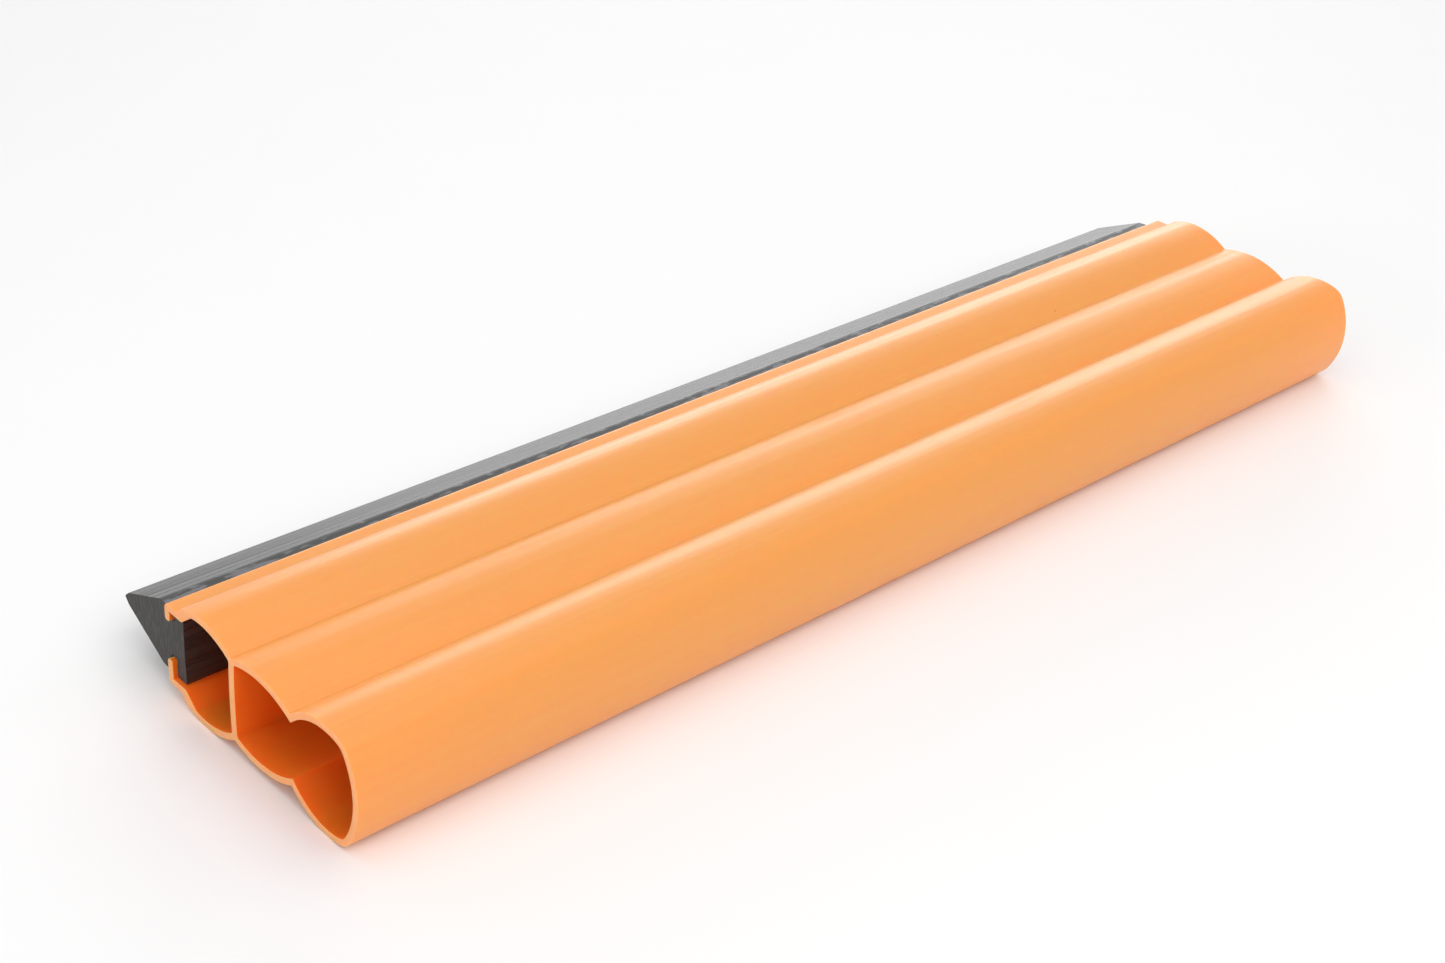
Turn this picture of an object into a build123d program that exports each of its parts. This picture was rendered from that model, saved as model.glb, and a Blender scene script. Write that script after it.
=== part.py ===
"""Hand squeegee trowel: a hollow extruded plastic handle that holds a thick rubber blade.

Frame: X runs along the length, Y from the blade's tip (-Y) to the back of the handle (+Y),
Z up. The origin is at the middle of the length and of the depth, on the resting plane.
Both pieces are straight extrusions. Their sections are mirror images about the mid-plane, but for
the mouth between the hooks and the blade's neck in it, which lie a little above it.
"""
import os
from math import hypot, radians, sin, sqrt, tan

from build123d import *

# ---------------------------------------------------------------- driving dimensions, mm
length = 457.0                 # of the handle, sawn square
blade_inset = 1.5              # the blade ends this far inside each end of the handle

# Handle. Stations are distances behind the front face of the lips.
handle_depth = 94.2            # front face of the lips to the back of the handle
wall = 2.2                     # shell
divider = 2.6                  # web between the two chambers

# Lobes and the finger grooves between them. Half heights are from the mid-plane.
front_lobe_crest = 18.8        # behind the front face of the lips
front_lobe_half = 18.9
front_lobe_rise = 21.0         # radius ahead of the crest
front_lobe_fall = 29.1         # radius behind the crest
first_groove_half = 14.27
middle_lobe_half = 16.5        # this lobe is the arc that spans the two grooves
second_groove_half = 12.31
rear_lobe_crest = 14.6         # ahead of the back
rear_lobe_half = 18.9
rear_lobe_radius = 23.9
back_radius = 28.8             # gently bowed back
back_corner = 7.0              # rounding between the rear lobe and the back
valley_rounding = 0.7          # finger grooves, outside
web_rounding = 0.8             # corners inside the chambers

# Lips that hook round the head of the blade
lip_wall = 2.2                 # thickness of the lips over the slot
lip_flat = 7.1                 # length of the flat behind the front face
lip_step = 1.8                 # length of the slope from the flat up to the front lobe
lip_corner = 1.8               # outer corner of each lip
hook = 2.4                     # thickness of each hook, front to back
hook_rounding = 1.1            # both corners of each hook's end
mouth_half = 6.8               # half gap between the two hooks
mouth_rise = 1.4               # middle of that gap, above the mid-plane
slot_half = 11.8               # half height of the slot behind the hooks
slot_depth = 6.5               # length of the slot's flat ledges
flare = 5.3                    # length of the slope from the ledges up to the chamber

# Blade
blade_reach = 25.4             # tip to the shoulders that face the lips
blade_half = 11.7              # half height at those shoulders
margin = 5.0                   # flatter strip ahead of the shoulders
margin_drop = 0.4              # height lost over that strip
nose_angle = 45.0              # steep facets at the tip, from the mid-plane, degrees
nose_half = 2.1                # half height where the facets meet the tapers
tip_radius = 0.5
head_depth = 4.9               # thickness of the head, front to back
blade_rounding = 0.4           # small corners of the head

# Fits
lip_gap = 0.3                  # blade shoulders to the front face of the lips
slot_gap = 0.2                 # blade neck and head to the slot, all round

# ---------------------------------------------------------------- derived sizes
depth = blade_reach + lip_gap + handle_depth
half_height = max(front_lobe_half, rear_lobe_half)
lip_half = slot_half + lip_wall                  # half height over the flats of the lips
front = blade_reach + lip_gap                    # station of the lips, from the tip
back = front + handle_depth

# The section is drawn from the blade's tip, with the mid-plane as its horizontal axis.
section = Plane(origin=(0, -depth / 2, half_height), x_dir=(0, 1, 0), z_dir=(1, 0, 0))


# A circle is its centre's station, its centre's height and its radius.
front_rise = (front + front_lobe_crest, front_lobe_half - front_lobe_rise, front_lobe_rise)
front_fall = (front + front_lobe_crest, front_lobe_half - front_lobe_fall, front_lobe_fall)
rear = (back - rear_lobe_crest, rear_lobe_half - rear_lobe_radius, rear_lobe_radius)
end = (back - back_radius, 0.0, back_radius)


def half_chord(circle, height):
    """Half the width of a circle at a height."""
    cx, cy, radius = circle
    return sqrt(radius**2 - (height - cy) ** 2)


def lobe_between(start, stop, half):
    """The circle through two points whose top is at a half height."""
    drop, stop_drop = half - start[1], half - stop[1]
    span = stop[0] - start[0]
    unequal = stop_drop - drop
    product = drop * (span**2 + stop_drop * unequal)
    rise = product / (drop * span + sqrt((drop * span) ** 2 + unequal * product))
    radius = (rise**2 + drop**2) / (2 * drop)
    return start[0] + rise, half - radius, radius


first_valley = (front_fall[0] + half_chord(front_fall, first_groove_half), first_groove_half)
second_valley = (rear[0] - half_chord(rear, second_groove_half), second_groove_half)
middle = lobe_between(first_valley, second_valley, middle_lobe_half)


def height_at(x, circle, inset=0.0):
    """Height of a circle's upper side at x, with its radius reduced by the inset."""
    cx, cy, radius = circle
    return cy + sqrt((radius - inset) ** 2 - (x - cx) ** 2)


def crossing(one, other, inset=0.0):
    """Upper crossing point of two circles, both reduced by the inset."""
    ax, ay, ar = one
    bx, by, br = other
    ar, br = ar - inset, br - inset
    gap = hypot(bx - ax, by - ay)
    along = (ar**2 - br**2 + gap**2) / (2 * gap)
    aside = sqrt(ar**2 - along**2)
    ux, uy = (bx - ax) / gap, (by - ay) / gap
    sign = 1 if ux > 0 else -1
    return ax + along * ux - sign * aside * uy, ay + along * uy + sign * aside * ux


web_front = first_valley[0] - divider / 2
web_back = first_valley[0] + divider / 2


def lobes_to_back(start, inset):
    """Upper outline from a point on the middle lobe, over the rear lobe, to the back."""
    dip = crossing(middle, rear, inset)
    corner = crossing(rear, end, inset)
    RadiusArc(start, dip, middle[2] - inset)
    RadiusArc(dip, corner, rear[2] - inset)
    RadiusArc(corner, (back - inset, 0), end[2] - inset)


close = 0.01                   # how near a vertex or an edge lies to where it is looked for


def corners(sketch, *points):
    """The sketch's vertices at the given points and at their mirror images."""
    return [
        v
        for v in sketch.vertices()
        for x, y in points
        if abs(v.X - x) < close and abs(abs(v.Y) - abs(y)) < close
    ]


# ---------------------------------------------------------------- handle
step_start = front + lip_flat
step_end = step_start + lip_step
step_point = (step_end, height_at(step_end, front_rise))
front_crest = (front + front_lobe_crest, front_lobe_half)
inner_crest = (front + front_lobe_crest, front_lobe_half - wall)
back_edge = crossing(rear, end)
hook_back = front + hook
ledge_end = hook_back + slot_depth
flare_end = ledge_end + flare
flare_point = (flare_end, height_at(flare_end, front_rise, wall))
web_front_point = (web_front, height_at(web_front, front_fall, wall))
web_back_point = (web_back, height_at(web_back, middle, wall))

with BuildPart() as handle:
    with BuildSketch(section) as outside:
        with BuildLine():
            Line((front, 0), (front, lip_half))
            Line((front, lip_half), (step_start, lip_half))
            Line((step_start, lip_half), step_point)
            RadiusArc(step_point, front_crest, front_lobe_rise)
            RadiusArc(front_crest, first_valley, front_lobe_fall)
            lobes_to_back(first_valley, 0.0)
            mirror(about=Plane.XZ)
        make_face()
        fillet(corners(outside, (front, lip_half)), lip_corner)
        fillet(corners(outside, (step_start, lip_half), step_point), lip_corner)
        fillet(corners(outside, first_valley, second_valley), valley_rounding)
        fillet(corners(outside, back_edge), back_corner)
    extrude(amount=length / 2, both=True)

    # Slot and front chamber
    with BuildSketch(section) as slot_and_front:
        with BuildLine():
            Line((hook_back, 0), (hook_back, slot_half))
            Line((hook_back, slot_half), (ledge_end, slot_half))
            Line((ledge_end, slot_half), flare_point)
            RadiusArc(flare_point, inner_crest, front_lobe_rise - wall)
            RadiusArc(inner_crest, web_front_point, front_lobe_fall - wall)
            Line(web_front_point, (web_front, 0))
            mirror(about=Plane.XZ)
        make_face()
        fillet(corners(slot_and_front, web_front_point), web_rounding)
    extrude(amount=length / 2, both=True, mode=Mode.SUBTRACT)

    # Mouth between the hooks
    with BuildSketch(section) as mouth:
        with Locations((front + hook / 2, mouth_rise)):
            Rectangle(hook, 2 * mouth_half)
    extrude(amount=length / 2, both=True, mode=Mode.SUBTRACT)

    # Rear chamber, under the middle and rear lobes
    with BuildSketch(section) as rear_chamber:
        with BuildLine():
            Line((web_back, 0), web_back_point)
            lobes_to_back(web_back_point, wall)
            mirror(about=Plane.XZ)
        make_face()
        fillet(corners(rear_chamber, web_back_point), web_rounding)
        fillet(corners(rear_chamber, crossing(rear, end, wall)), back_corner - wall)
    extrude(amount=length / 2, both=True, mode=Mode.SUBTRACT)

    # Rounded ends of the hooks
    hook_ends = (
        handle.edges()
        .filter_by(Axis.X)
        .filter_by(lambda e: front - close < e.center().Y + depth / 2 < hook_back + close)
        .filter_by(lambda e: abs(abs(e.center().Z - half_height - mouth_rise) - mouth_half) < close)
    )
    fillet(hook_ends, hook_rounding)

handle.part.label = "handle"

# ---------------------------------------------------------------- blade
sharp = tip_radius - tip_radius / sin(radians(nose_angle))     # before the tip is rounded
nose_end = sharp + nose_half / tan(radians(nose_angle))
margin_start = blade_reach - margin
margin_half = blade_half - margin_drop
neck_back = hook_back + slot_gap
head_half = slot_half - slot_gap

with BuildPart() as blade:
    with BuildSketch(section) as blade_section:
        with BuildLine():
            Polyline(
                (sharp, 0),
                (nose_end, nose_half),
                (margin_start, margin_half),
                (blade_reach, blade_half),
                (blade_reach, 0),
            )
            mirror(about=Plane.XZ)
        make_face()
        fillet(corners(blade_section, (sharp, 0)), tip_radius)
        with Locations(((blade_reach + neck_back) / 2, mouth_rise)):
            Rectangle(neck_back - blade_reach, 2 * (mouth_half - slot_gap))
        with Locations((neck_back + head_depth / 2, 0)):
            RectangleRounded(head_depth, 2 * head_half, blade_rounding)
    extrude(amount=length / 2 - blade_inset, both=True)

blade.part.label = "blade"

# ---------------------------------------------------------------- files
os.makedirs("parts", exist_ok=True)
export_step(handle.part, "parts/handle.step")
export_step(blade.part, "parts/blade.step")
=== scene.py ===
# Looks of a hand squeegee trowel: a sawn length of orange extruded handle and its rubber blade.
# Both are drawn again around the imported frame, with finer sections, sawn end faces and wear.
from math import acos, atan2, ceil, cos, hypot, pi, radians, sin, sqrt, tan

import bpy
import numpy as np
from mathutils import Matrix, Vector, noise
from mathutils.geometry import delaunay_2d_cdt


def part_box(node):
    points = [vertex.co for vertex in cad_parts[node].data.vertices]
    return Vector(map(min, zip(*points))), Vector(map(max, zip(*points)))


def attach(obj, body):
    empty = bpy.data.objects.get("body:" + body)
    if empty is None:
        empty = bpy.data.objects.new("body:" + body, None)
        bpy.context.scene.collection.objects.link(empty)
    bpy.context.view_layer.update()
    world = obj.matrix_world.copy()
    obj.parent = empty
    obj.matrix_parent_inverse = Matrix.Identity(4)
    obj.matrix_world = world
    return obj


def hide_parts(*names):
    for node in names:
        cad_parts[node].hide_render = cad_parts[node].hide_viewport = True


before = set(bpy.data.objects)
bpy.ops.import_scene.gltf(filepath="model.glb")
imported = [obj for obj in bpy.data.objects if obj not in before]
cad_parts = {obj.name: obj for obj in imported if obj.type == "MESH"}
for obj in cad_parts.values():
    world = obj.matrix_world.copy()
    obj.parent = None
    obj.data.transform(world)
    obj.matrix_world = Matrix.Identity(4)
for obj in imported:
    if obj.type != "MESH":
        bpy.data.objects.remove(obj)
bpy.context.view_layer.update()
mm = 0.001

# ---------------------------------------------------------------- section sizes, mm
# Stations run back from the blade's tip and heights up from the mid-plane, as in the CAD section.
handle_low, handle_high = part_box("handle")
blade_low, blade_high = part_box("blade")
handle_length = (handle_high.x - handle_low.x) / mm
blade_length = (blade_high.x - blade_low.x) / mm
half_height = (handle_high.z - handle_low.z) / 2 / mm
mid_plane = (handle_high.z + handle_low.z) / 2 / mm
first_station = blade_low.y / mm                    # where station 0 lies along the frame's Y
front = (handle_low.y - blade_low.y) / mm           # front face of the lips
back = (handle_high.y - blade_low.y) / mm           # back of the handle
head_back = (blade_high.y - blade_low.y) / mm       # back of the blade's head

wall = 2.2
divider = 2.6
front_crest = front + 18.8
front_rise = (front_crest, half_height - 21.0, 21.0)            # circles: station, height, radius
front_fall = (front_crest, half_height - 29.1, 29.1)
rear = (back - 14.6, half_height - 23.9, 23.9)
back_bow = (back - 28.8, 0.0, 28.8)
middle_half = 16.5
first_groove = 14.27               # half heights at the bottoms of the finger grooves
second_groove = 12.31
back_corner = 7.0
groove_rounding = 0.7
web_rounding = 0.8
web_bow = 0.35                     # the web leans towards the blade at mid height
slot_half = 11.8
lip_wall = 2.2
lip_half = slot_half + lip_wall
lip_flat = 7.1
lip_step = 1.8
lip_corner = 1.8
hook = 2.4
hook_rounding = 1.1
mouth_half = 6.8
mouth_rise = 1.4                   # the gap between the hooks lies a little above the mid-plane
mouth_high = mouth_half + mouth_rise
mouth_low = mouth_half - mouth_rise
slot_depth = 6.5
flare = 5.3
die_rounding = 0.25                # small corners that an extrusion never has quite sharp

lip_gap = 0.3
blade_reach = front - lip_gap
slot_gap = 0.2
margin = 5.0
shoulder_half = 11.7
margin_drop = 0.4
margin_half = shoulder_half - margin_drop
nose_angle = 45.0
nose_half = 2.1
tip_radius = 0.5
rubber_rounding = 0.35
head_hollow = 0.4                  # the head's back face is drawn in at mid height


# ---------------------------------------------------------------- section outlines
fine = 0.03                        # spacing of the points that outlines are worked out with


def upper_side(circle, start, stop, inset=0.0):
    """Points on a circle's upper side from one station to another."""
    cx, cy, radius = circle
    radius -= inset
    turn = [acos(max(-1.0, min(1.0, (x - cx) / radius))) for x in (start, stop)]
    count = ceil(abs(turn[1] - turn[0]) * radius / fine) + 2
    t = np.linspace(turn[0], turn[1], count)
    return np.stack([cx + radius * np.cos(t), cy + radius * np.sin(t)], axis=1)


def line(start, stop):
    """Points on a straight run."""
    count = ceil(hypot(stop[0] - start[0], stop[1] - start[1]) / fine) + 2
    return np.linspace(start, stop, count)


def height_at(x, circle, inset=0.0):
    """Height of a circle's upper side at a station."""
    cx, cy, radius = circle
    return cy + sqrt((radius - inset) ** 2 - (x - cx) ** 2)


def half_chord(circle, height):
    """Half the width of a circle at a height."""
    return sqrt(circle[2] ** 2 - (height - circle[1]) ** 2)


def lobe_between(start, stop, half):
    """The circle through two points whose top is at a half height."""
    drop, stop_drop = half - start[1], half - stop[1]
    span = stop[0] - start[0]
    unequal = stop_drop - drop
    product = drop * (span**2 + stop_drop * unequal)
    rise = product / (drop * span + sqrt((drop * span) ** 2 + unequal * product))
    radius = (rise**2 + drop**2) / (2 * drop)
    return start[0] + rise, half - radius, radius


def crossing(one, other, inset=0.0):
    """Station of the upper crossing of two circles, both reduced by the inset."""
    ax, ay, ar = one
    bx, by, br = other
    ar, br = ar - inset, br - inset
    gap = hypot(bx - ax, by - ay)
    along = (ar**2 - br**2 + gap**2) / (2 * gap)
    aside = sqrt(ar**2 - along**2)
    ux, uy = (bx - ax) / gap, (by - ay) / gap
    sign = 1 if ux > 0 else -1
    return ax + along * ux - sign * aside * uy


def unit(vectors):
    return vectors / np.linalg.norm(vectors, axis=-1, keepdims=True)


def left_of(directions):
    return np.stack([-directions[..., 1], directions[..., 0]], axis=-1)


def round_corner(one, two, radius):
    """Trims two runs that meet at a corner and puts an arc between them."""
    before, after = one[-1] - one[-2], two[1] - two[0]
    side = 1.0 if before[0] * after[1] - before[1] * after[0] > 0 else -1.0
    centres_one = one + side * radius * left_of(unit(np.gradient(one, axis=0)))
    centres_two = two + side * radius * left_of(unit(np.gradient(two, axis=0)))
    apart = np.linalg.norm(centres_one[:, None] - centres_two[None], axis=2)
    i, j = np.unravel_index(apart.argmin(), apart.shape)
    centre = (centres_one[i] + centres_two[j]) / 2
    start = atan2(*(one[i] - centre)[::-1])
    stop = atan2(*(two[j] - centre)[::-1])
    sweep = (stop - start) * side % (2 * pi) * side
    t = np.linspace(start, start + sweep, ceil(abs(sweep) * radius / fine) + 3)
    arc = centre + radius * np.stack([np.cos(t), np.sin(t)], axis=1)
    return one[:i - 1], arc, two[j + 2:]


def joined(runs, roundings):
    """One line through runs that meet end to end, with corners rounded; 0 leaves one sharp."""
    whole = runs[0]
    for run, radius in zip(runs[1:], roundings):
        if radius:
            kept, arc, run = round_corner(whole, run, radius)
            whole = np.concatenate([kept, arc])
            whole = np.concatenate([whole, run])
        else:
            whole = np.concatenate([whole, run[1:]])
    return whole


def thinned(points, turn_limit=radians(7.0), step=1.0):
    """Keeps a point after each short stretch or small turn."""
    kept, turned, gone = [points[0]], 0.0, 0.0
    for before, here, after in zip(points, points[1:], points[2:]):
        a, b = here - before, after - here
        gone += hypot(*a)
        turned += abs(atan2(a[0] * b[1] - a[1] * b[0], a[0] * b[0] + a[1] * b[1]))
        if turned > turn_limit or gone > step:
            kept.append(here)
            turned, gone = 0.0, 0.0
    kept.append(points[-1])
    return np.array(kept)


def closed(upper, lower=None):
    """A whole loop from its halves, both drawn upwards. They start and end on the mid-plane."""
    lower = thinned(upper if lower is None else lower)
    return np.concatenate([thinned(upper), lower[-2:0:-1] * (1, -1)])


first_valley = (front_fall[0] + half_chord(front_fall, first_groove), first_groove)
second_valley = (rear[0] - half_chord(rear, second_groove), second_groove)
middle = lobe_between(first_valley, second_valley, middle_half)
web_front = first_valley[0] - divider / 2
web_back = first_valley[0] + divider / 2


def handle_half(mouth):
    """Lobes, lip, slot and front chamber of one half, with its hook ending at that height."""
    edge = crossing(rear, back_bow)
    step_start = front + lip_flat
    step_end = step_start + lip_step
    hook_back = front + hook
    ledge_end = hook_back + slot_depth
    flare_end = ledge_end + flare
    straight = [
        (step_end, height_at(step_end, front_rise)),
        (step_start, lip_half),
        (front, lip_half),
        (front, mouth),
        (hook_back, mouth),
        (hook_back, slot_half),
        (ledge_end, slot_half),
        (flare_end, height_at(flare_end, front_rise, wall)),
    ]
    runs = [
        upper_side(back_bow, back, edge),
        upper_side(rear, edge, second_valley[0]),
        upper_side(middle, second_valley[0], first_valley[0]),
        upper_side(front_fall, first_valley[0], front_crest),
        upper_side(front_rise, front_crest, step_end),
        *[line(a, b) for a, b in zip(straight, straight[1:])],
        upper_side(front_rise, flare_end, front_crest, wall),
        upper_side(front_fall, front_crest, web_front, wall),
        line((web_front, height_at(web_front, front_fall, wall)), (web_front, 0)),
    ]
    roundings = [back_corner, groove_rounding, groove_rounding, 0]
    roundings += [lip_corner, lip_corner, lip_corner, hook_rounding, hook_rounding]
    roundings += [die_rounding, die_rounding, 2 * die_rounding, 0, web_rounding]
    return joined(runs, roundings)


def rear_chamber_outline():
    dip, edge = crossing(middle, rear, wall), crossing(rear, back_bow, wall)
    runs = [
        line((web_back, 0), (web_back, height_at(web_back, middle, wall))),
        upper_side(middle, web_back, dip, wall),
        upper_side(rear, dip, edge, wall),
        upper_side(back_bow, edge, back - wall, wall),
    ]
    return closed(joined(runs, [web_rounding, die_rounding, back_corner - wall]))


def blade_section_half(mouth):
    """One half of the blade, with its neck passing a hook that ends at that height."""
    neck_half, head_half = mouth - slot_gap, slot_half - slot_gap
    neck_back = front + hook + slot_gap
    tip = (tip_radius, 0.0, tip_radius)
    steep = radians(nose_angle)
    touch = (tip_radius * (1 - sin(steep)), tip_radius * cos(steep))
    points = [
        (head_back, 0),
        (head_back, head_half),
        (neck_back, head_half),
        (neck_back, neck_half),
        (blade_reach, neck_half),
        (blade_reach, shoulder_half),
        (blade_reach - margin, margin_half),
        (touch[0] + (nose_half - touch[1]) / tan(steep), nose_half),
        touch,
    ]
    runs = [line(a, b) for a, b in zip(points, points[1:])]
    runs.append(upper_side(tip, touch[0], 0.0))
    return joined(runs, [rubber_rounding] * 7 + [0])


# ---------------------------------------------------------------- meshes
def inside(points, loops):
    """Which points lie within the loops, by the even-odd rule."""
    odd = np.zeros(len(points), bool)
    px, py = points[:, 0, None], points[:, 1, None]
    for loop in loops:
        (ax, ay), (bx, by) = loop.T, np.roll(loop, -1, axis=0).T
        spans = (ay > py) != (by > py)
        run = np.where(by == ay, 1.0, by - ay)
        crosses = spans & (px < ax + (py - ay) * (bx - ax) / run)
        odd ^= crosses.sum(axis=1) % 2 == 1
    return odd


def filled(loops, grain, seed):
    """Inner points and triangles of a sawn face. Triangles number the loops' points first."""
    edge_points = np.concatenate(loops)
    low, high = edge_points.min(0), edge_points.max(0)
    columns = np.arange(low[0], high[0], grain)
    rows = np.arange(low[1], high[1], grain * sqrt(3) / 2)
    grid = np.array([(x + (k % 2) * grain / 2, y) for k, y in enumerate(rows) for x in columns])
    grid += np.random.default_rng(seed).uniform(-0.12, 0.12, grid.shape) * grain
    grid = grid[inside(grid, loops)]
    nearest = [np.min(np.hypot(*(edge_points - p).T)) for p in grid]
    grid = grid[np.array(nearest) > 0.55 * grain]
    edges, first = [], 0
    for loop in loops:
        count = len(loop)
        edges += [(first + k, first + (k + 1) % count) for k in range(count)]
        first += count
    points = np.concatenate([edge_points, grid])
    made = delaunay_2d_cdt([Vector(p) for p in points], edges, [], 0, 1e-6)
    name = [given[0] for given in made[3]]
    triangles = np.array([[name[k] for k in face] for face in made[2]])
    centres = points[triangles].mean(axis=1)
    triangles = triangles[inside(centres, loops)]
    a, b, c = (points[triangles[:, k]] for k in range(3))
    turn = (b - a)[:, 0] * (c - a)[:, 1] - (b - a)[:, 1] * (c - a)[:, 0]
    triangles[turn < 0] = triangles[turn < 0][:, ::-1]
    return grid, triangles


def ripple(points, size, seed):
    """Smooth noise from -1 to 1 at each point, with waves about that size."""
    shift = Vector((seed * 7.3, seed * 3.1, seed * 5.7))
    return np.array([noise.noise(Vector(p) / size + shift) for p in points])


def sawn_bar(name, length, loops, stations, edge, grain, shape, saw_marks, hidden, seed):
    """A bar of that section between its two sawn faces. Its points are (along, station, height)."""
    verts, faces, kinds, first = [], [], [], 0
    rims = {-1: [], 1: []}
    half = length / 2
    for loop in loops:
        count = len(loop)
        ahead = unit(np.roll(loop, -1, axis=0) - loop)
        inward = left_of(unit(ahead + np.roll(ahead, 1, axis=0)))
        spots = [(-half, 1), *[(x, 0) for x in stations], (half, 1)]
        within = hidden((loop + np.roll(loop, -1, axis=0)) / 2)
        for x, sawn in spots:
            worn = 1.0 + 0.45 * ripple(np.c_[loop, np.full(count, x)], 2.5, seed)
            section = loop + inward * (edge * worn * sawn)[:, None]
            verts.append(np.c_[np.full(count, x), section])
        for row in range(len(spots) - 1):
            a, b = first + row * count, first + (row + 1) * count
            rim = row in (0, len(spots) - 2)
            for k in range(count):
                n = (k + 1) % count
                faces.append((a + k, a + n, b + n, b + k))
                # faces inside the slot or a chamber take the third material, which on the handle is
                # painted shade
                kinds.append(1 if rim else 2 * int(within[k]))
        rims[-1].append(np.arange(first, first + count))
        rims[1].append(np.arange(first + (len(spots) - 1) * count, first + len(spots) * count))
        first += len(spots) * count
    for side, rings in rims.items():
        whole = np.concatenate(verts)
        rim_loops = [whole[ring][:, 1:] for ring in rings]
        grid, triangles = filled(rim_loops, grain, seed)
        numbers = np.concatenate([*rings, np.arange(first, first + len(grid))])
        depth = saw_marks(grid)
        verts.append(np.c_[side * (half - depth), grid])
        first += len(grid)
        order = (0, 1, 2) if side > 0 else (2, 1, 0)
        for triangle in numbers[triangles]:
            faces.append(tuple(int(triangle[k]) for k in order))
            kinds.append(1)
    placed = shape(np.concatenate(verts))
    placed += (0.0, first_station, mid_plane)
    mesh = bpy.data.meshes.new(name)
    mesh.from_pydata((placed * mm).tolist(), [], [tuple(int(k) for k in face) for face in faces])
    mesh.polygons.foreach_set("material_index", kinds)
    mesh.shade_smooth()
    mesh.set_sharp_from_angle(angle=radians(32.0))
    mesh.update()
    piece = bpy.data.objects.new(name, mesh)
    bpy.context.scene.collection.objects.link(piece)
    return piece


def along(length, spacing, edge):
    """Stations down the length, closer together near the sawn ends."""
    half = length / 2 - edge
    t = np.linspace(-pi / 2, pi / 2, ceil(length / spacing))
    return half * (0.35 * np.sin(t) + 0.65 * t / (pi / 2))


# ---------------------------------------------------------------- handle
def handle_shape(points):
    """The web leans a little, and the walls wave by a few hundredths of a millimetre."""
    x, station, height = points.T
    near_web = np.clip(1.6 - np.abs(station - first_valley[0]) / divider, 0, 1)
    lean = near_web * np.clip(1 - (height / (first_groove - wall)) ** 2, 0, 1)
    wave = ripple(np.c_[x / 14, station / 2.5, height / 2.5], 3.0, 4)
    skin = np.abs(height) > mouth_low - 0.2
    moved = points.copy()
    moved[:, 1] -= web_bow * lean
    moved[:, 2] -= np.sign(height) * skin * (0.5 + 0.5 * wave) * handle_wave
    return moved


handle_wave = 0.07
web_margin = 0.1                   # takes in the web's own front face
loop_reach = 0.8                   # less than any wall is thick


def handle_saw_marks(points):
    """Fine steps across the sawn plastic."""
    lean = points[:, 0] * 0.9 + points[:, 1] * 0.44
    return 0.02 + 0.02 * np.sin(lean / 0.11) + 0.025 * (1 + ripple(np.c_[points, lean], 1.2, 2))


def handle_hidden(points):
    """Which points of the section lie inside the slot or a chamber."""
    station, height = points.T
    low = np.where(station < front_crest, front_rise[1], front_fall[1])
    radius = np.where(station < front_crest, front_rise[2], front_fall[2])
    lobe = low + np.sqrt(np.maximum(radius**2 - (station - front_crest) ** 2, 0))
    roof = np.where(station < front + lip_flat + lip_step, lip_half, lobe) - wall / 2
    in_front = (station > front + hook / 2) & (station < web_front + web_margin)
    in_front &= np.abs(height) < roof
    rear_loop = rear_chamber_outline()
    on_rear = [np.min(np.hypot(*(rear_loop - p).T)) < loop_reach for p in points]
    return in_front | np.array(on_rear)


def make_handle():
    edge = 0.14
    outline = closed(handle_half(mouth_high), handle_half(mouth_low))
    loops = [outline, rear_chamber_outline()]
    piece = sawn_bar(
        "handle_shell", handle_length, loops, along(handle_length, 3.6, edge), edge, 0.6,
        handle_shape, handle_saw_marks, handle_hidden, 5,
    )
    piece.data.materials.append(plastic_skin())
    piece.data.materials.append(plastic_cut())
    # the third material is painted shade on the walls of the slot and chambers
    piece.data.materials.append(plastic_inside_painted_shade())
    return piece


# ---------------------------------------------------------------- blade
blade_lift = 1.3                   # how far the free edge has curled up at the +X end
near_skew = 0.3                    # the edge is cut this much shorter than the head at the +X end
far_short = 1.3                    # the -X end stops this much sooner, and its edge sooner still
far_skew = 1.9


def blade_shape(points):
    """The rubber has taken a slight curl: its edge rises towards the +X end."""
    x, station, height = points.T
    toward = np.clip(0.5 + x / blade_length, 0, 1) ** 1.5
    near = np.clip(2 * x / blade_length, 0, 1)
    far = np.clip(-2 * x / blade_length, 0, 1)
    free = np.clip(1 - station / (front + 2.0), 0, 1)
    hollow = np.clip((station - head_back + 2.0) / 2.0, 0, 1)
    hollow *= np.clip(1 - (height / slot_half) ** 2, 0, 1)
    wave = ripple(np.c_[x / 12, station / 2, height / 3], 3.0, 9)
    moved = points.copy()
    moved[:, 0] += far * (far_short + far_skew * free) - near * near_skew * free
    moved[:, 1] -= head_hollow * hollow
    moved[:, 2] += blade_lift * toward * free ** 1.2 + 0.08 * wave * free
    return moved


def blade_saw_marks(points):
    """The blade that cut the rubber left fine curved steps."""
    swing = np.hypot(points[:, 0] + 30.0, points[:, 1] - 42.0)
    coarse = ripple(np.c_[swing, points[:, 1] * 0.06, points[:, 0] * 0.04], 0.7, 3)
    fine_steps = ripple(np.c_[swing, points[:, 1] * 0.1, points[:, 0] * 0.1], 0.28, 6)
    return 0.07 + 0.045 * coarse + 0.02 * fine_steps


def blade_hidden(points):
    """None of the blade's skin lies in a chamber of its own."""
    return np.zeros(len(points), bool)


def make_blade():
    edge = 0.12
    outline = closed(blade_section_half(mouth_high), blade_section_half(mouth_low))
    piece = sawn_bar(
        "blade_rubber_bar", blade_length, [outline], along(blade_length, 3.2, edge), edge, 0.42,
        blade_shape, blade_saw_marks, blade_hidden, 8,
    )
    piece.data.materials.append(rubber_skin())
    piece.data.materials.append(rubber_cut())
    return piece


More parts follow.
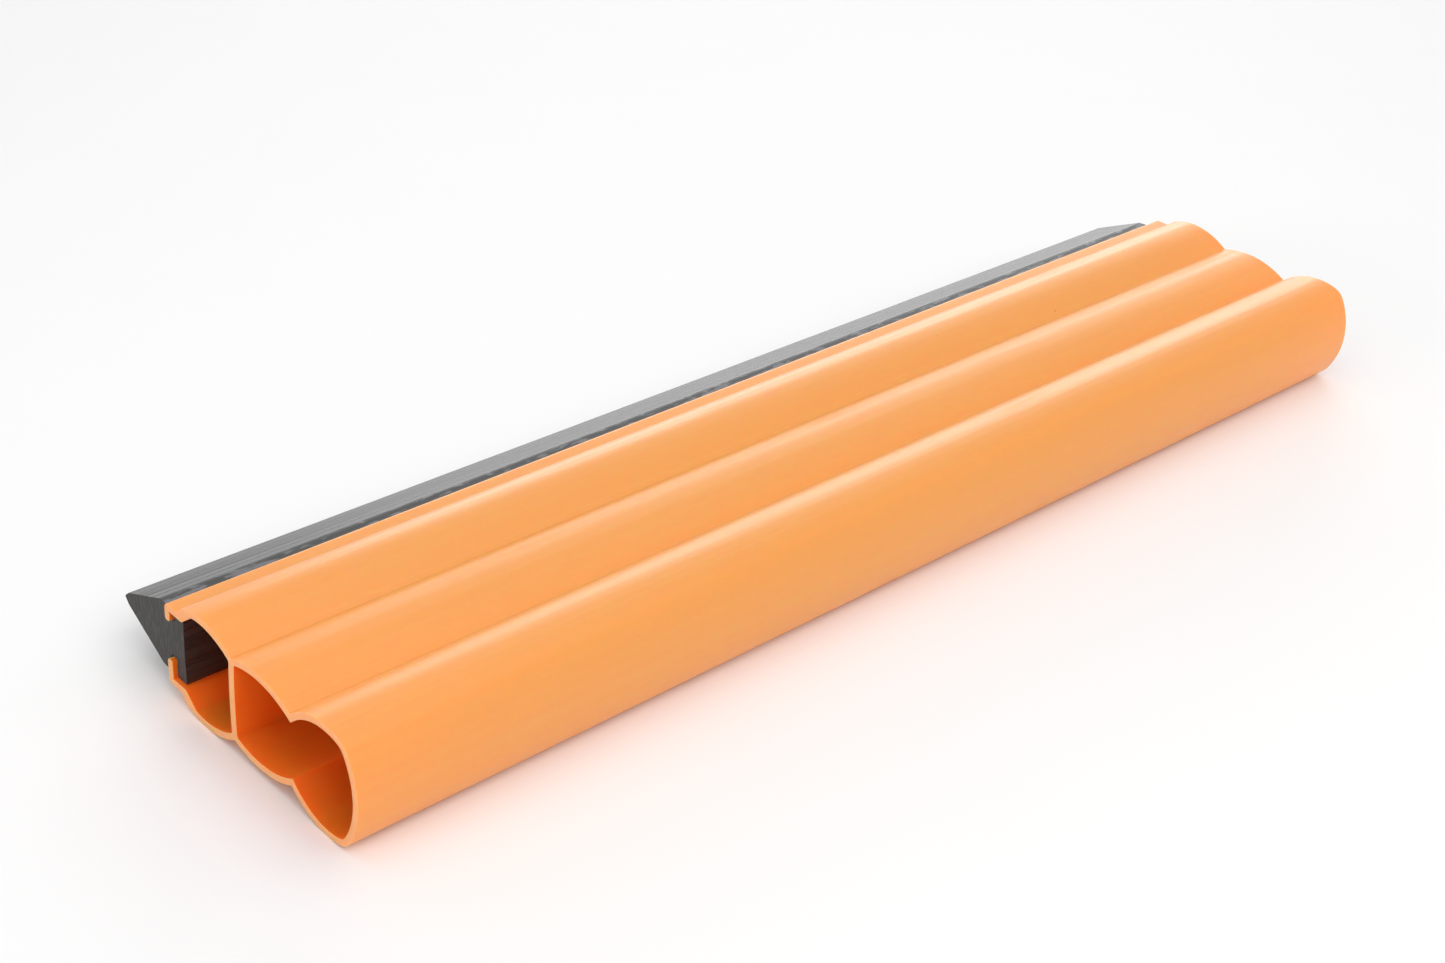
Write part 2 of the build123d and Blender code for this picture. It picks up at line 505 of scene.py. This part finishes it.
# ---------------------------------------------------------------- materials
class Finish:
    """A material and the few node calls that its surface is written with."""

    def __init__(self, name, colour, roughness, **sockets):
        self.material = bpy.data.materials.new(name)
        self.material.use_nodes = True
        self.tree = self.material.node_tree
        self.shader = next(n for n in self.tree.nodes if n.type == "BSDF_PRINCIPLED")
        self.colour, self.roughness, self.normal = colour, roughness, None
        self.shader.inputs["Base Color"].default_value = (*colour, 1.0)
        self.shader.inputs["Roughness"].default_value = roughness
        for key, value in sockets.items():
            self.shader.inputs[key.replace("_", " ")].default_value = value
        self.place = self.node("ShaderNodeTexCoord").outputs["Object"]

    def node(self, kind, inputs=None, **settings):
        made = self.tree.nodes.new(kind)
        for key, value in settings.items():
            setattr(made, key, value)
        for key, value in (inputs or {}).items():
            if isinstance(value, bpy.types.NodeSocket):
                self.tree.links.new(value, made.inputs[key])
            else:
                made.inputs[key].default_value = value
        return made

    def stretched(self, sizes, turn=(0.0, 0.0, 0.0)):
        """Coordinates whose unit is that many metres along each axis."""
        scale = tuple(1 / size for size in sizes)
        inputs = {"Vector": self.place, "Rotation": turn, "Scale": scale}
        return self.node("ShaderNodeMapping", inputs).outputs["Vector"]

    def noise(self, sizes, detail=3.0, turn=(0.0, 0.0, 0.0)):
        inputs = {"Vector": self.stretched(sizes, turn), "Scale": 1.0, "Detail": detail}
        return self.node("ShaderNodeTexNoise", inputs).outputs["Fac"]

    def between(self, value, low, high, to_low=0.0, to_high=1.0):
        inputs = {"Value": value, "From Min": low, "From Max": high}
        inputs |= {"To Min": to_low, "To Max": to_high}
        made = self.node("ShaderNodeMapRange", inputs, interpolation_type="SMOOTHSTEP")
        return made.outputs["Result"]

    def maths(self, operation, one, two):
        return self.node("ShaderNodeMath", {0: one, 1: two}, operation=operation).outputs[0]

    def axis(self, name):
        return self.node("ShaderNodeSeparateXYZ", {0: self.place}).outputs[name]

    def mixed(self, amount, colour):
        """The colour so far, turned towards another where the amount says."""
        start = self.colour
        if not isinstance(start, bpy.types.NodeSocket):
            start = (*start, 1.0)
        made = self.node("ShaderNodeMix", data_type="RGBA")
        for socket, value in zip((0, 6, 7), (amount, start, (*colour, 1.0))):
            if isinstance(value, bpy.types.NodeSocket):
                self.tree.links.new(value, made.inputs[socket])
            else:
                made.inputs[socket].default_value = value
        self.colour = made.outputs[2]

    def translucent(self, weight, radius):
        """Lets light wander inside, by that far for red, green and blue."""
        self.shader.inputs["Subsurface Weight"].default_value = weight
        self.shader.inputs["Subsurface Radius"].default_value = radius
        self.shader.inputs["Subsurface Scale"].default_value = 1.0

    def rougher(self, amount):
        """Adds to the roughness so far."""
        self.roughness = self.maths("ADD", self.roughness, amount)

    def bumped(self, height, distance, strength=1.0):
        inputs = {"Height": height, "Distance": distance, "Strength": strength}
        if self.normal:
            inputs["Normal"] = self.normal
        self.normal = self.node("ShaderNodeBump", inputs).outputs["Normal"]

    def done(self):
        for key in ("Base Color", "Roughness", "Normal"):
            value = {"Base Color": self.colour, "Roughness": self.roughness}.get(key, self.normal)
            if isinstance(value, bpy.types.NodeSocket):
                self.tree.links.new(value, self.shader.inputs[key])
        return self.material


orange = (0.985, 0.35, 0.08)


def plastic_skin():
    """Satin plastic, drawn lengthwise by the die, with faint lines, handling marks and specks."""
    made = Finish("plastic_skin", orange, 0.36, IOR=1.48)
    made.translucent(0.65, (0.006, 0.0012, 0.0003))
    lines = made.noise((0.9, 0.0022, 0.0022), 4.0)
    cloud = made.noise((0.07, 0.03, 0.03), 2.0)
    made.mixed(made.between(lines, 0.45, 0.75, 0.0, 0.16), (0.98, 0.46, 0.15))
    made.mixed(made.between(cloud, 0.35, 0.7, 0.0, 0.14), (0.94, 0.35, 0.07))
    specks = made.node(
        "ShaderNodeTexVoronoi", {"Vector": made.stretched((0.03, 0.03, 0.03)), "Scale": 1.0}
    ).outputs["Distance"]
    made.mixed(made.between(specks, 0.012, 0.022, 0.55, 0.0), (0.30, 0.07, 0.02))
    rubbed = made.noise((0.05, 0.004, 0.01), 5.0, (0.0, 0.0, 0.35))
    made.rougher(made.between(rubbed, 0.55, 0.8, 0.0, 0.12))
    made.rougher(made.between(lines, 0.3, 0.7, -0.04, 0.05))
    made.bumped(lines, 0.00006)
    made.bumped(made.noise((0.0012, 0.0012, 0.0012), 3.0), 0.00001)
    return made.done()


def plastic_inside_painted_shade():
    """The slot and chamber walls: a darker, redder copy of the plastic, as painted shade for the
    deep red-orange that light bouncing inside and coming through the walls gives them.
    """
    made = Finish("plastic_inside_painted_shade", (0.99, 0.19, 0.014), 0.55, IOR=1.4)
    made.shader.inputs["Specular IOR Level"].default_value = 0.2
    made.translucent(0.8, (0.012, 0.0012, 0.0003))
    lines = made.noise((0.9, 0.0022, 0.0022), 3.0)
    made.bumped(lines, 0.00006)
    return made.done()


def plastic_cut():
    """Sawn plastic: paler, matt, with fine steps from the teeth."""
    made = Finish("plastic_cut", (0.98, 0.38, 0.14), 0.58, IOR=1.48)
    made.translucent(0.65, (0.006, 0.0012, 0.0003))
    steps = made.noise((0.004, 0.00035, 0.009), 3.0, (0.45, 0.0, 0.0))
    made.mixed(made.between(steps, 0.4, 0.7, 0.0, 0.35), (1.0, 0.44, 0.22))
    made.bumped(steps, 0.00008)
    return made.done()


def rubber_skin():
    """Moulded black rubber: lengthwise streaks, partly real wear and partly painted sheen, and dust
    on the strip beside the lip.
    """
    made = Finish("rubber_skin", (0.024, 0.024, 0.023), 0.27, IOR=1.62)
    streaks_and_sheen = made.noise((0.8, 0.0016, 0.0016), 3.0)
    # the lighter streaks in the colour are partly painted sheen and partly worn rubber
    made.mixed(made.between(streaks_and_sheen, 0.45, 0.7, 0.0, 0.5), (0.045, 0.044, 0.042))
    made.rougher(made.between(streaks_and_sheen, 0.35, 0.65, -0.06, 0.12))
    strip_start = (first_station + blade_reach - margin) * mm
    strip_end = (first_station + blade_reach) * mm
    station = made.axis("Y")
    on_strip = made.between(station, strip_start - 0.2 * mm, strip_start + 0.2 * mm)
    on_strip = made.maths(
        "MULTIPLY", on_strip, made.between(station, strip_end, strip_end + 0.2 * mm, 1.0, 0.0)
    )
    smudges = made.between(made.noise((0.006, 0.002, 0.004), 5.0), 0.5, 0.62)
    made.mixed(made.maths("MULTIPLY", on_strip, smudges), (0.13, 0.13, 0.14))
    made.rougher(made.maths("MULTIPLY", on_strip, 0.25))
    made.bumped(streaks_and_sheen, 0.00012)
    made.bumped(made.noise((0.0008, 0.0008, 0.0008), 4.0), 0.000012)
    return made.done()


def rubber_cut():
    """Sawn rubber: matt dark grey with curved steps."""
    made = Finish("rubber_cut", (0.034, 0.032, 0.029), 0.72, IOR=1.5)
    steps = made.noise((0.004, 0.0006, 0.004), 4.0, (-0.85, 0.0, 0.0))
    made.mixed(made.between(steps, 0.4, 0.7, 0.0, 0.6), (0.078, 0.073, 0.067))
    made.bumped(steps, 0.0001)
    return made.done()


def floor_paper():
    """Plain white paper sweep."""
    made = Finish("floor_paper", (0.90, 0.90, 0.90), 0.7)
    grain = made.noise((0.05, 0.05, 0.05), 3.0)
    made.mixed(made.between(grain, 0.4, 0.7, 0.0, 0.1), (0.87, 0.87, 0.87))
    return made.done()


# ---------------------------------------------------------------- stage
def make_floor():
    side = 8.0
    mesh = bpy.data.meshes.new("floor")
    corner = side / 2
    spots = [(-corner, -corner, 0), (corner, -corner, 0), (corner, corner, 0), (-corner, corner, 0)]
    mesh.from_pydata(spots, [], [(0, 1, 2, 3)])
    mesh.materials.append(floor_paper())
    floor = bpy.data.objects.new("floor", mesh)
    bpy.context.scene.collection.objects.link(floor)


def softbox(name, spot, aim, size, power):
    light = bpy.data.lights.new(name, "AREA")
    light.shape = "RECTANGLE"
    light.size, light.size_y = size
    light.energy = power
    lamp = bpy.data.objects.new(name, light)
    lamp.location = spot
    lamp.rotation_mode = "QUATERNION"
    lamp.rotation_quaternion = (Vector(aim) - Vector(spot)).to_track_quat("-Z", "Y")
    bpy.context.scene.collection.objects.link(lamp)


def light_room():
    world = bpy.data.worlds.new("studio")
    bpy.context.scene.world = world
    world.use_nodes = True
    sky = world.node_tree.nodes["Background"]
    sky.inputs["Color"].default_value = (1.0, 1.0, 1.0, 1.0)
    sky.inputs["Strength"].default_value = 0.62
    softbox("overhead", (0.0, 0.1, 1.7), (0, 0, 0), (1.8, 1.8), 7.0)
    softbox("key", (0.3, 1.2, 1.5), (0, 0, 0), (1.3, 1.3), 12.5)
    softbox("backdrop", (-2.2, -2.2, 0.6), (0, 0, 0), (2.4, 1.0), 29.0)
    softbox("end_fill", (1.8, -0.1, 0.5), (0.2, 0, 0), (0.8, 0.5), 5.0)


def make_camera():
    """Looks at the object from above its +X end and its back, with a small roll."""
    azimuth, elevation, roll = radians(134.75), radians(31.1), radians(-4.71)
    aim = Vector((38.4, -4.5, mid_plane)) * mm
    distance = 743.9 * mm
    flat = cos(elevation)
    backward = Vector((sin(azimuth) * flat, -cos(azimuth) * flat, sin(elevation)))
    level_up = (Vector((0, 0, 1)) - backward.z * backward).normalized()
    level_right = level_up.cross(backward)
    up = level_up * cos(roll) + level_right * sin(roll)
    right = up.cross(backward)
    data = bpy.data.cameras.new("camera")
    data.sensor_width = 36.0
    data.lens = 56.2
    data.clip_start = 0.01
    camera = bpy.data.objects.new("camera", data)
    turned = Matrix((right, up, backward)).transposed().to_4x4()
    camera.matrix_world = Matrix.Translation(aim + backward * distance) @ turned
    bpy.context.scene.collection.objects.link(camera)
    bpy.context.scene.camera = camera


# ---------------------------------------------------------------- whole scene
handle = make_handle()
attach(handle, "handle")
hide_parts("handle")

blade = make_blade()
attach(blade, "blade")
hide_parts("blade")

make_floor()
light_room()
make_camera()
view = bpy.context.scene.view_settings
view.view_transform = "Standard"
view.look = "None"
